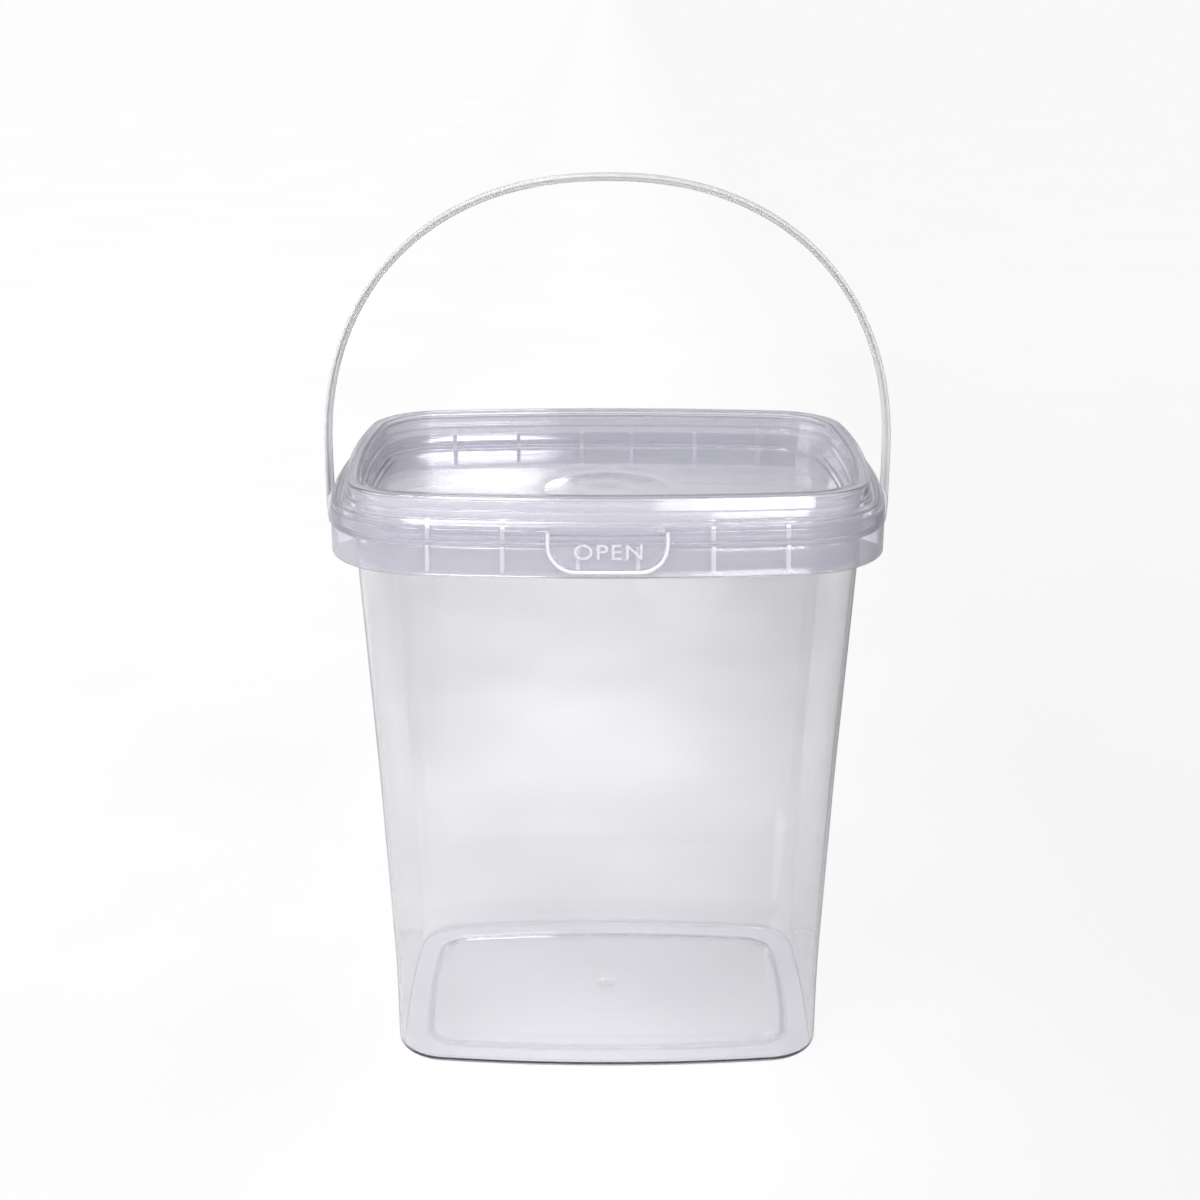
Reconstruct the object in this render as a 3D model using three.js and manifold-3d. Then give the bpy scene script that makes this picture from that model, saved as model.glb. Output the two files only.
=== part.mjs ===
// A clear rectangular food pail: a tapered tub with a tamper-evident collar, a press-on lid,
// a bail handle on two studs and a tear tab in the front of the collar.
// Millimetres, +Z up, front at -Y. The origin is the middle of the underside, on the foot ring.

import * as THREE from "three";
import { mergeVertices } from "three/addons/utils/BufferGeometryUtils.js";
import Module from "manifold-3d";

const wasm = await Module();
wasm.setup();

// Plan, on the outside of the collar: a rectangle whose sides bow out, with round corners
const collarLength = 133;
const collarWidth = 99;
const cornerRadius = 23.5;
const longSideRadius = 380;
const shortSideRadius = 228;
const rimCornerTighter = 2;
const stepCornerTighter = 1;
const footCornerRounder = 1.5;

// Tub: insets are measured inwards from the outside of the collar
const tubHeight = 149.8;
const tubWall = 1;
const rimInset = 5.3;
const rimRound = 0.35;
const footInset = 11.6;
const footRadius = 1.6;
const footBandHeight = 22;
const footBandInset = 11.5;
const wallBendHeight = 75;
const wallBendInset = 9.1;
const footRingFlat = 5.7;
const floorThickness = 1.2;
const floorRise = 1.8;
const floorStepRun = 3.4;
const floorCornerRound = 4;
const floorRim = 0.4;
const snapBeadProud = 0.3;
const snapBeadHeight = 0.9;
const snapBeadDrop = 0.7;

// Gate mark and flow ring in the middle of the floor
const gateRadius = 2.6;
const gateEdge = 1.3;
const gateHeight = 0.5;
const flowRingRadius = 13.5;
const flowRingWidth = 0.8;
const flowRingHeight = 0.15;

// Collar: the outer band, and the web that joins it to the tub wall
const collarWall = 1.1;
const collarDrop = 5.2;
const collarRound = 0.3;
const collarBelowHole = 0.7;
const webThickness = 1;
const webDrop = 8.3;
const ribThickness = 0.9;
const ribPitch = 17;
const frontRibSpacing = 13.5;
const sideRibPitch = 13;
const pivotRibSpacing = 20;
const lowerRibClear = 1;
const upperRibGap = 0.5;

// Lid
const lidWall = 1;
const lidRound = 0.45;
const lidDraft = 0.25;
const rimGap = 0.3;
const lidRecess = 10.1;
const lidStepDrop = 3.1;
const lidStepOut = 0.7;
const flangeDrop = 5;
const flangeGap = 0.45;
const skirtWall = 0.9;
const skirtLift = 0.4;
const plugStepDrop = 4.3;
const plugStepIn = 0.7;
const plugFillet = 1.4;
const panelMargin = 2.5;
const panelRingRadius = 15.5;
const panelRingWidth = 1;
const panelRingHeight = 0.2;
const panelDiscRadius = 8;
const panelDiscHeight = 0.15;
const panelGateRadius = 3;
const panelGateEdge = 1.5;
const panelGateHeight = 0.3;

// Handle
const strapWidth = 5;
const strapThickness = 1.8;
const strapFlange = 0.8;
const strapRib = 1.6;
const strapEdge = 0.4;
const strapStandoff = 0.7;
const archHeight = 67;
const archPower = 2.22;
const padGap = 0.35;
const padShoulder = 2.1;
const studRadius = 2.2;
const studGap = 0.3;
const headCatch = 0.4;
const headLength = 1.5;
const headUnderWeb = 1;
const headBevel = 0.6;
const headGap = 0.4;

// Tear tab and its notch in the front of the collar
const notchWidth = 26;
const notchSill = 1.9;
const notchCorner = 5.8;
const notchBeadWidth = 0.9;
const notchBeadProud = 0.45;
const tabGap = 0.3;
const tabShort = 1.1;
const tabLipHeight = 1;
const tabLipProud = 0.5;
const tabLipShoulder = 0.5;
const tabBorder = 1.7;
const tabPanelDepth = 0.3;

// Facets, and how far a cut runs past what it cuts
const cornerSteps = 8;
const longHalfSteps = 4;
const shortHalfSteps = 3;
const filletSteps = 4;
const edgeSteps = 1;
const roundSteps = 28;
const ringSteps = 40;
const archSteps = 66;
const overrun = 2;
const crestShare = 1 / 2;

// Sizes and levels that several pieces share
const holeRadius = studRadius + studGap;
const headRadius = holeRadius + headCatch;
const padRadius = studRadius + padShoulder;
const webTop = tubHeight - webDrop;
const webUnderside = webTop - webThickness;
const pivotHeight = webUnderside - headUnderWeb - headRadius;
const collarTop = tubHeight - collarDrop;
const collarBottom = pivotHeight - holeRadius - collarBelowHole;
const lidTop = tubHeight + rimGap + lidWall;
const panelTop = lidTop - lidRecess;
const sill = collarBottom + notchSill;
const front = -collarWidth / 2;
const sideFace = collarLength / 2;

// Centres of the side arcs in the +X +Y quarter, and of the corner arc that touches both
function cornerCentre(radius) {
  const longCentre = new THREE.Vector2(0, collarWidth / 2 - longSideRadius);
  const shortCentre = new THREE.Vector2(collarLength / 2 - shortSideRadius, 0);
  const fromLong = longSideRadius - radius;
  const fromShort = shortSideRadius - radius;
  const between = new THREE.Vector2().subVectors(shortCentre, longCentre);
  const distance = between.length();
  const along = (fromLong ** 2 - fromShort ** 2 + distance ** 2) / (2 * distance);
  const across = Math.sqrt(fromLong ** 2 - along ** 2);
  const unit = between.divideScalar(distance);
  const centre = new THREE.Vector2(
    longCentre.x + unit.x * along + unit.y * across,
    longCentre.y + unit.y * along - unit.x * across,
  );
  return { centre, longCentre, shortCentre };
}

// Points at even angles on an arc, its first end included and its last end left to the next arc
function arcOf(centre, radius, from, to, steps) {
  const points = [];
  for (let i = 0; i < steps; i++) {
    const angle = from + ((to - from) * i) / steps;
    const x = centre.x + radius * Math.cos(angle);
    const y = centre.y + radius * Math.sin(angle);
    points.push(new THREE.Vector2(x, y));
  }
  return points;
}

// The plan moved outwards by offset, with corners rounder by round, counter-clockwise from +X
function outline(offset, round = 0) {
  const radius = cornerRadius + round;
  const { centre, longCentre, shortCentre } = cornerCentre(radius);
  const shortEnd = Math.atan2(centre.y - shortCentre.y, centre.x - shortCentre.x);
  const longEnd = Math.atan2(centre.y - longCentre.y, centre.x - longCentre.x);
  const quarter = [
    ...arcOf(shortCentre, shortSideRadius + offset, 0, shortEnd, shortHalfSteps),
    ...arcOf(centre, radius + offset, shortEnd, longEnd, cornerSteps),
    ...arcOf(longCentre, longSideRadius + offset, longEnd, Math.PI / 2, longHalfSteps),
    new THREE.Vector2(0, collarWidth / 2 + offset),
  ];
  const half = [
    ...quarter,
    ...quarter.slice(0, -1).reverse().map((p) => new THREE.Vector2(-p.x, p.y)),
  ];
  const rest = half.slice(1, -1).reverse().map((p) => new THREE.Vector2(p.x, -p.y));
  return [...half, ...rest];
}

// Where a long or a short side lies at a given place along it
function longSideAt(x, offset) {
  return Math.sqrt((longSideRadius + offset) ** 2 - x ** 2) - longSideRadius + collarWidth / 2;
}

function shortSideAt(y, offset) {
  return Math.sqrt((shortSideRadius + offset) ** 2 - y ** 2) - shortSideRadius + collarLength / 2;
}

// Skin through one ring of the plan for each profile point [offset, height, extra corner round]
function ringsOf(profile) {
  return profile.map(([offset, height, round]) =>
    outline(offset, round).map((p) => [p.x, p.y, height]),
  );
}

function skinBetween(rings, closed) {
  const count = rings[0].length;
  const faces = [];
  const last = closed ? rings.length : rings.length - 1;
  for (let j = 0; j < last; j++) {
    const next = (j + 1) % rings.length;
    for (let i = 0; i < count; i++) {
      const k = (i + 1) % count;
      faces.push([rings[j][i], rings[next][i], rings[next][k]]);
      faces.push([rings[j][i], rings[next][k], rings[j][k]]);
    }
  }
  return faces;
}

function geometryOfFaces(faces) {
  const geometry = new THREE.BufferGeometry();
  geometry.setAttribute("position", new THREE.Float32BufferAttribute(faces.flat(2), 3));
  return geometry;
}

// A dish: the profile runs from the middle of its top, over the rim, to the middle of its underside
function dishAlong(profile) {
  const rings = ringsOf(profile);
  const faces = skinBetween(rings, false);
  const top = rings[0];
  const under = rings[rings.length - 1];
  const count = top.length;
  for (let i = 0; i < count; i++) {
    const k = (i + 1) % count;
    faces.push([[0, 0, top[0][2]], top[i], top[k]]);
    faces.push([[0, 0, under[0][2]], under[k], under[i]]);
  }
  return solidOf(geometryOfFaces(faces));
}

// A closed band: the profile runs clockwise round the section of the wall
function bandAlong(profile) {
  return solidOf(geometryOfFaces(skinBetween(ringsOf(profile), true)));
}

// Profile points on a quarter round, with both ends
function fillet(offset, height, radius, fromDegrees, toDegrees, steps = filletSteps) {
  const points = [];
  for (let i = 0; i <= steps; i++) {
    const turn = fromDegrees + ((toDegrees - fromDegrees) * i) / steps;
    const angle = THREE.MathUtils.degToRad(turn);
    points.push([offset + radius * Math.cos(angle), height + radius * Math.sin(angle)]);
  }
  return points;
}

// A small broken edge, as one facet
function edge(offset, height, radius, fromDegrees, toDegrees) {
  return fillet(offset, height, radius, fromDegrees, toDegrees, edgeSteps);
}

function solidOf(geometry) {
  const bare = geometry.clone();
  bare.deleteAttribute("normal");
  bare.deleteAttribute("uv");
  const merged = mergeVertices(bare);
  return new wasm.Manifold(
    new wasm.Mesh({
      numProp: 3,
      vertProperties: merged.attributes.position.array,
      triVerts: new Uint32Array(merged.index.array),
    }),
  );
}

function meshOf(name, solid, material) {
  const { vertProperties, triVerts } = solid.getMesh();
  const shared = new THREE.BufferGeometry();
  shared.setAttribute("position", new THREE.BufferAttribute(vertProperties, 3));
  shared.setIndex(new THREE.BufferAttribute(triVerts, 1));
  const geometry = shared.toNonIndexed();
  geometry.computeVertexNormals();
  const mesh = new THREE.Mesh(geometry, material);
  mesh.name = name;
  return mesh;
}

function boxBetween(low, high) {
  const size = new THREE.Vector3().subVectors(high, low);
  const middle = new THREE.Vector3().addVectors(low, high).multiplyScalar(1 / 2);
  return solidOf(
    new THREE.BoxGeometry(size.x, size.y, size.z).translate(middle.x, middle.y, middle.z),
  );
}

// A round bar along X from one x to another, at the height of the handle's pivot
function barAlongX(radius, fromX, toX, farRadius = radius) {
  const length = Math.abs(toX - fromX);
  const nearAtHighX = fromX > toX;
  const geometry = new THREE.CylinderGeometry(
    nearAtHighX ? farRadius : radius,
    nearAtHighX ? radius : farRadius,
    length,
    roundSteps,
  );
  geometry.rotateZ(Math.PI / 2);
  geometry.translate((fromX + toX) / 2, 0, pivotHeight);
  return solidOf(geometry);
}

// A ridge or disc turned about the upright through the middle
function turned(points, height) {
  const profile = points.map(([radius, z]) => new THREE.Vector2(radius, z));
  const geometry = new THREE.LatheGeometry(profile, ringSteps);
  geometry.rotateX(Math.PI / 2);
  geometry.translate(0, 0, height);
  return solidOf(geometry);
}

function ridge(radius, width, height, level) {
  return turned(
    [
      [radius - width / 2, -height],
      [radius + width / 2, -height],
      [radius + width / 2, 0],
      [radius + (width / 2) * crestShare, height],
      [radius - (width / 2) * crestShare, height],
      [radius - width / 2, 0],
      [radius - width / 2, -height],
    ],
    level,
  );
}

function disc(radius, edge, height, level) {
  return turned(
    [
      [0, -height],
      [radius, -height],
      [radius, 0],
      [radius - edge, height],
      [0, height],
    ],
    level,
  );
}

// The U of the notch, seen from the front and cut straight through along Y
function notchBlock(grow, top, nearY, farY) {
  const half = notchWidth / 2 + grow;
  const bottom = sill - grow;
  const corner = notchCorner + grow;
  const shape = new THREE.Shape();
  shape.moveTo(-half, top);
  shape.lineTo(-half, bottom + corner);
  shape.absarc(-half + corner, bottom + corner, corner, Math.PI, Math.PI * 1.5, false);
  shape.absarc(half - corner, bottom + corner, corner, Math.PI * 1.5, Math.PI * 2, false);
  shape.lineTo(half, top);
  shape.closePath();
  const geometry = new THREE.ExtrudeGeometry(shape, {
    depth: farY - nearY,
    bevelEnabled: false,
    curveSegments: cornerSteps,
  });
  geometry.rotateX(Math.PI / 2);
  geometry.translate(0, farY, 0);
  return solidOf(geometry);
}

// Tub

// The wall's corners grow rounder from the web down to the foot
function wallRound(height) {
  return THREE.MathUtils.mapLinear(height, 0, webUnderside, footCornerRounder, -rimCornerTighter);
}

function tubProfile() {
  const footCentre = -footInset - footRadius;
  const insideRadius = footRadius - tubWall;
  const ringEnd = footCentre - footRingFlat;
  const stepEnd = ringEnd - floorStepRun;
  const floorTop = floorRise + floorThickness;
  const middle = stepEnd - floorRim;
  const bead = -rimInset + snapBeadProud;
  const beadTop = tubHeight - snapBeadDrop;
  const beadBottom = beadTop - snapBeadHeight;
  const round = floorCornerRound;
  const atRim = -rimCornerTighter;
  const atBand = wallRound(footBandHeight);
  const atBend = wallRound(wallBendHeight);
  const tighter = (points) => points.map(([offset, height]) => [offset, height, atRim]);
  const rounder = (points) =>
    points.map(([offset, height]) => [offset, height, footCornerRounder]);
  return [
    [middle, floorTop, round],
    [stepEnd + floorRim, floorTop, round],
    [ringEnd + floorRim, floorThickness, round],
    ...rounder(fillet(footCentre, floorThickness + insideRadius, insideRadius, -90, 0)),
    [-footBandInset - tubWall, footBandHeight, atBand],
    [-wallBendInset - tubWall, wallBendHeight, atBend],
    [-rimInset - tubWall, webUnderside, atRim],
    ...tighter(edge(-rimInset - tubWall + rimRound, tubHeight - rimRound, rimRound, 180, 90)),
    ...tighter(edge(-rimInset - rimRound, tubHeight - rimRound, rimRound, 90, 0)),
    [bead, beadTop - snapBeadProud, atRim],
    [bead, beadBottom, atRim],
    [-rimInset, beadBottom - snapBeadProud, atRim],
    [-rimInset, webTop, atRim],
    [-collarWall, webTop],
    ...edge(-collarWall + collarRound, collarTop - collarRound, collarRound, 180, 90),
    ...edge(-collarRound, collarTop - collarRound, collarRound, 90, 0),
    ...edge(-collarRound, collarBottom + collarRound, collarRound, 0, -90),
    ...edge(-collarWall + collarRound, collarBottom + collarRound, collarRound, -90, -180),
    [-collarWall, webUnderside],
    [-rimInset, webUnderside, atRim],
    [-wallBendInset, wallBendHeight, atBend],
    [-footBandInset, footBandHeight, atBand],
    ...rounder(fillet(footCentre, footRadius, footRadius, 0, -90)),
    [ringEnd, 0, round],
    [stepEnd, floorRise, round],
    [middle, floorRise, round],
  ];
}

// Gusset ribs stand across the gutter, square to the side they are on
function ribOn(side, place, innerOffset, outerOffset, low, high) {
  const half = ribThickness / 2;
  const onLongSide = side === "front" || side === "back";
  const sign = side === "front" || side === "left" ? -1 : 1;
  const sideAt = onLongSide ? longSideAt : shortSideAt;
  const ends = [sign * sideAt(place, innerOffset), sign * sideAt(place, outerOffset)];
  const nearEnd = Math.min(...ends);
  const farEnd = Math.max(...ends);
  return onLongSide
    ? boxBetween(
        new THREE.Vector3(place - half, nearEnd, low),
        new THREE.Vector3(place + half, farEnd, high),
      )
    : boxBetween(
        new THREE.Vector3(nearEnd, place - half, low),
        new THREE.Vector3(farEnd, place + half, high),
      );
}

// Pairs of ribs, one pitch after another as far as the side runs before its corners
function ribPlaces(side) {
  const { centre } = cornerCentre(cornerRadius);
  const onLongSide = side === "front" || side === "back";
  const sideEnd = onLongSide ? centre.x : centre.y;
  const first = (onLongSide ? frontRibSpacing : pivotRibSpacing) / 2;
  const pitch = onLongSide ? ribPitch : sideRibPitch;
  const places = [];
  for (let place = first; place < sideEnd; place += pitch) places.push(place, -place);
  return places;
}

function collarRibs() {
  const intoWall = -rimInset - tubWall / 2;
  const intoCollar = -collarWall / 2;
  const skirtInside = -collarWall - flangeGap - skirtWall - upperRibGap;
  const lowerFoot = collarBottom + lowerRibClear;
  const middleOfWeb = webTop - webThickness / 2;
  const upperTop = lidTop - flangeDrop - lidWall - upperRibGap;
  const ribs = [];
  for (const side of ["front", "back", "left", "right"]) {
    for (const place of ribPlaces(side)) {
      const behindTab = side === "front" && Math.abs(place) < notchWidth / 2;
      ribs.push(ribOn(side, place, intoWall, intoCollar, lowerFoot, middleOfWeb));
      if (!behindTab) {
        ribs.push(ribOn(side, place, intoWall, skirtInside, middleOfWeb, upperTop));
      }
    }
  }
  return ribs;
}

// A raised bead follows the notch, as wide on the sill as on the sides
function notchBead() {
  const depth = collarWall / 2;
  const band = bandAlong([
    [-depth, collarBottom + collarRound],
    [-depth, collarTop - collarRound],
    [notchBeadProud * crestShare, collarTop - collarRound],
    [notchBeadProud, collarTop - collarRound * 2],
    [notchBeadProud, collarBottom + collarRound * 2],
    [notchBeadProud * crestShare, collarBottom + collarRound],
  ]);
  const farY = front + notchBeadProud + notchCorner;
  const outer = notchBlock(notchBeadWidth, collarTop, front - overrun, farY);
  const inner = notchBlock(0, collarTop + overrun, front - overrun * 2, farY + overrun);
  return band.intersect(outer).subtract(inner);
}

function notchCut() {
  const behind = collarWall + tabGap;
  const bow = collarWidth / 2 - longSideAt(notchWidth / 2, 0);
  return notchBlock(0, collarTop + overrun, front - overrun, front + behind + bow);
}

function pivotHoles() {
  const outer = sideFace + overrun;
  const inner = sideFace - collarWall - overrun;
  return [barAlongX(holeRadius, inner, outer), barAlongX(holeRadius, -outer, -inner)];
}

function tub() {
  let solid = dishAlong(tubProfile());
  for (const rib of collarRibs()) solid = solid.add(rib);
  solid = solid.subtract(notchCut()).add(notchBead());
  for (const hole of pivotHoles()) solid = solid.subtract(hole);
  const floorTop = floorRise + floorThickness;
  return solid
    .add(ridge(flowRingRadius, flowRingWidth, flowRingHeight, floorTop))
    .add(disc(gateRadius, gateEdge, gateHeight, floorTop));
}

// Lid

function lidProfile() {
  const plugOutside = -rimInset - tubWall - rimGap;
  const plugInside = plugOutside - lidWall;
  const channelSide = -rimInset + snapBeadProud + rimGap;
  const ringOutside = channelSide + lidWall;
  const stepOutside = ringOutside + lidStepOut;
  const flangeOutside = -collarWall - flangeGap;
  const stepLevel = lidTop - lidStepDrop;
  const flangeTop = lidTop - flangeDrop;
  const skirtBottom = webTop + skirtLift;
  const plugStep = lidTop - plugStepDrop;
  const lowInside = plugInside - plugStepIn;
  const lowOutside = plugOutside - plugStepIn;
  const underside = panelTop - lidWall;
  const filletCentre = lowInside - plugFillet;
  const middle = filletCentre - panelMargin;
  const ringTopOutside = ringOutside - lidDraft;
  const tighter = (points) =>
    points.map(([offset, height]) => [offset, height, -rimCornerTighter]);
  const between = (points) =>
    points.map(([offset, height]) => [offset, height, -stepCornerTighter]);
  return [
    ...tighter([
      [middle, panelTop],
      ...fillet(filletCentre, panelTop + plugFillet, plugFillet, -90, 0),
      [lowInside, plugStep - plugStepIn],
      [plugInside, plugStep],
      ...fillet(plugInside + lidRound, lidTop - lidRound, lidRound, 180, 90, edgeSteps * 2),
      ...fillet(ringTopOutside - lidRound, lidTop - lidRound, lidRound, 90, 0, edgeSteps * 2),
      [ringOutside, stepLevel + lidRound],
    ]),
    ...between([
      [stepOutside - lidRound, stepLevel],
      [stepOutside, stepLevel - lidRound],
      [stepOutside, flangeTop + lidRound],
      [stepOutside + lidRound, flangeTop],
    ]),
    [flangeOutside - lidRound, flangeTop],
    [flangeOutside, flangeTop - lidRound],
    [flangeOutside, skirtBottom],
    [flangeOutside - skirtWall, skirtBottom],
    [flangeOutside - skirtWall, flangeTop - lidWall],
    ...between([
      [stepOutside - lidWall, flangeTop - lidWall],
      [stepOutside - lidWall, stepLevel - lidWall],
    ]),
    ...tighter([
      [channelSide, stepLevel - lidWall / 2],
      [channelSide, lidTop - lidWall],
      [plugOutside, lidTop - lidWall],
      [plugOutside, plugStep - plugStepIn],
      [lowOutside, plugStep - plugStepIn * 2],
      [lowOutside, underside + plugFillet],
      [lowOutside - plugFillet, underside],
      [middle, underside],
    ]),
  ];
}

function lid() {
  return dishAlong(lidProfile())
    .add(ridge(panelRingRadius, panelRingWidth, panelRingHeight, panelTop))
    .add(disc(panelDiscRadius, panelRingWidth, panelDiscHeight, panelTop))
    .add(disc(panelGateRadius, panelGateEdge, panelGateHeight, panelTop));
}

// Handle

// Straight legs up to the rim, then a superellipse over the lid, from the +X leg to the -X leg
class BailCurve extends THREE.Curve {
  constructor(halfSpan, foot) {
    super();
    this.halfSpan = halfSpan;
    this.foot = foot;
    this.arcLengthDivisions = archSteps * 8;
  }

  getPoint(t, target = new THREE.Vector3()) {
    const leg = tubHeight - this.foot;
    const legShare = leg / (leg * 2 + this.halfSpan + archHeight * 2);
    if (t < legShare) {
      return target.set(this.halfSpan, 0, this.foot + (leg * t) / legShare);
    }
    if (t > 1 - legShare) {
      return target.set(-this.halfSpan, 0, this.foot + (leg * (1 - t)) / legShare);
    }
    const angle = (Math.PI * (t - legShare)) / (1 - legShare * 2);
    const across = Math.abs(Math.cos(angle)) ** (2 / archPower) * Math.sign(Math.cos(angle));
    const up = Math.abs(Math.sin(angle)) ** (2 / archPower);
    return target.set(this.halfSpan * across, 0, tubHeight + archHeight * up);
  }
}

// T section, its y pointing out of the arch: a flat strap with a rib along the middle of its inside
function strapSection() {
  const outside = strapThickness / 2;
  const ledge = outside - strapFlange;
  const half = strapWidth / 2;
  const shape = new THREE.Shape();
  shape.moveTo(-half, ledge);
  shape.lineTo(-strapRib / 2, ledge);
  shape.lineTo(-strapRib / 2, -outside);
  shape.lineTo(strapRib / 2, -outside);
  shape.lineTo(strapRib / 2, ledge);
  shape.lineTo(half, ledge);
  shape.lineTo(half, outside - strapEdge);
  shape.lineTo(half - strapEdge, outside);
  shape.lineTo(-half + strapEdge, outside);
  shape.lineTo(-half, outside - strapEdge);
  shape.closePath();
  return shape;
}

// One end of the handle: a round pad outside the collar, and a stud with a snap head through it
function handleEnd(sign) {
  const padFace = sideFace + padGap;
  const padOutside = padFace + strapStandoff + strapThickness / 2;
  const behindCollar = sideFace - collarWall - headGap;
  const headEnd = behindCollar - headLength;
  const neck = headEnd + headBevel;
  const pad = barAlongX(padRadius, sign * padFace, sign * padOutside);
  const stud = barAlongX(studRadius, sign * padOutside, sign * neck);
  const head = barAlongX(headRadius, sign * behindCollar, sign * neck);
  const tip = barAlongX(headRadius, sign * neck, sign * headEnd, headRadius - headBevel);
  return pad.add(stud).add(head).add(tip);
}

function handle() {
  const halfSpan = sideFace + padGap + strapStandoff + strapThickness / 2;
  const strap = new THREE.ExtrudeGeometry(strapSection(), {
    steps: archSteps,
    extrudePath: new BailCurve(halfSpan, pivotHeight),
  });
  return solidOf(strap).add(handleEnd(1)).add(handleEnd(-1));
}

// Tear tab

function tabProfile() {
  const top = collarTop - tabShort;
  const lipBottom = top - tabLipHeight;
  return [
    [-collarWall, collarBottom],
    [-collarWall, top],
    [tabLipProud * crestShare, top],
    [tabLipProud, top - tabLipProud * crestShare],
    [tabLipProud, lipBottom],
    [0, lipBottom - tabLipProud],
    [0, collarBottom],
  ];
}

function tearTab() {
  const depth = collarWall + tabGap + notchCorner;
  const plate = bandAlong(tabProfile());
  const blank = notchBlock(-tabGap, collarTop, front - overrun, front + depth);
  const panelTopEdge = collarTop - tabShort - tabLipHeight - tabLipProud - tabLipShoulder;
  const face = bandAlong([
    [-tabPanelDepth, collarBottom],
    [-tabPanelDepth, panelTopEdge],
    [overrun, panelTopEdge],
    [overrun, collarBottom],
  ]);
  const panel = notchBlock(-tabGap - tabBorder, panelTopEdge, front - overrun * 2, front + depth);
  return plate.intersect(blank).subtract(face.intersect(panel));
}

// Clear polypropylene, and the milkier strap of the handle
function clearPlastic(colour, opacity) {
  return new THREE.MeshStandardMaterial({
    color: colour,
    roughness: 0.12,
    metalness: 0,
    transparent: true,
    opacity,
    side: THREE.DoubleSide,
  });
}

const pail = new THREE.Group();
pail.add(meshOf("tub", tub(), clearPlastic(0xe8e8f0, 0.35)));
pail.add(meshOf("lid", lid(), clearPlastic(0xdcdce8, 0.4)));
pail.add(meshOf("handle", handle(), clearPlastic(0xe6e6e6, 0.7)));
pail.add(meshOf("tear_tab", tearTab(), clearPlastic(0xd8d8e4, 0.45)));

export default pail;
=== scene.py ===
# A clear rectangular food pail, lid on and handle up, on a pale floor in soft light.

import math

import bmesh
import bpy
import numpy as np
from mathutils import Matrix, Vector


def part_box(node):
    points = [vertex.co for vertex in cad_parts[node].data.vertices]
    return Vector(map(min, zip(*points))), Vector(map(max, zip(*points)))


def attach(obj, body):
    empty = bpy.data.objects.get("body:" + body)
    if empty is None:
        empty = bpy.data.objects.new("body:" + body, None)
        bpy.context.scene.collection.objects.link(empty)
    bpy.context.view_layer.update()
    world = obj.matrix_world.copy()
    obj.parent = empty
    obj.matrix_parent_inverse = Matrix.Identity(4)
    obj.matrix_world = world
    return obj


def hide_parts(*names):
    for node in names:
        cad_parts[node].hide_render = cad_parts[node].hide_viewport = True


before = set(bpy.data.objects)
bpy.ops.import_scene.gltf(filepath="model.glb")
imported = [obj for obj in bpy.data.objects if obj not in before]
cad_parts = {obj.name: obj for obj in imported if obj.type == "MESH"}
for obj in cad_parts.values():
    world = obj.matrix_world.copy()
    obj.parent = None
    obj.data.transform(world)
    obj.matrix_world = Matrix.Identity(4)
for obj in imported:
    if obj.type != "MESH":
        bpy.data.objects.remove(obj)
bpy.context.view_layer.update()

# Studio: the pail stands on a wide pale floor, and the camera looks down at its front from a
# little above the lid. Soft boxes stand over it, behind it, to its left and in front, and the sky
# over them is dim, so that the clear walls show their edges.

MM = 0.001
PHOTO_SIDE = 1200
FOCAL_PIXELS = 1915.6
SENSOR_WIDTH = 36
CAMERA_PLACE = Vector((-1.8, -458.8, 265.5)) * MM
CAMERA_PITCH = math.radians(18.51)
NEAREST_SEEN = 10 * MM
FURTHEST_SEEN = 100

scene = bpy.context.scene
scene.view_settings.view_transform = "Standard"

camera_data = bpy.data.cameras.new("camera")
camera_data.sensor_width = SENSOR_WIDTH
camera_data.lens = SENSOR_WIDTH * FOCAL_PIXELS / PHOTO_SIDE
camera_data.clip_start = NEAREST_SEEN
camera_data.clip_end = FURTHEST_SEEN
camera = bpy.data.objects.new("camera", camera_data)
camera.location = CAMERA_PLACE
camera.rotation_euler = (math.pi / 2 - CAMERA_PITCH, 0, 0)
scene.collection.objects.link(camera)
scene.camera = camera

# Rays through the lid and collar cross many walls
scene.cycles.max_bounces = 40
scene.cycles.transmission_bounces = 36
scene.cycles.transparent_max_bounces = 40


class Wire:
    """A socket of a node tree. Arithmetic on it adds Math nodes to the tree."""

    def __init__(self, tree, socket=None):
        self.tree = tree
        self.socket = socket

    def make(self, kind, settings=None, inputs=None, output=0):
        """A new node: its settings first, then the values or links of its input sockets."""
        node = self.tree.nodes.new(kind)
        for name, value in (settings or {}).items():
            if name == "stops":
                ramp = node.color_ramp
                while len(ramp.elements) < len(value):
                    ramp.elements.new(1)
                for element, (place, colour) in zip(ramp.elements, value):
                    element.position = place
                    element.color = colour
            else:
                setattr(node, name, value)
        for name, value in (inputs or {}).items():
            if isinstance(value, Wire):
                self.tree.links.new(value.socket, node.inputs[name])
            else:
                node.inputs[name].default_value = value
        return Wire(self.tree, node.outputs[output] if node.outputs else None)

    def math(self, operation, first, second):
        return self.make("ShaderNodeMath", {"operation": operation}, {0: first, 1: second})

    def __add__(self, other):
        return self.math("ADD", self, other)

    def __mul__(self, other):
        return self.math("MULTIPLY", self, other)

    def larger(self, other):
        return self.math("MAXIMUM", self, other)

    __radd__ = __add__
    __rmul__ = __mul__


def fresh_tree(owner):
    """The owner's node tree, emptied, as a Wire that nodes can be made from."""
    owner.use_nodes = True
    owner.node_tree.nodes.clear()
    return Wire(owner.node_tree)


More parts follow.
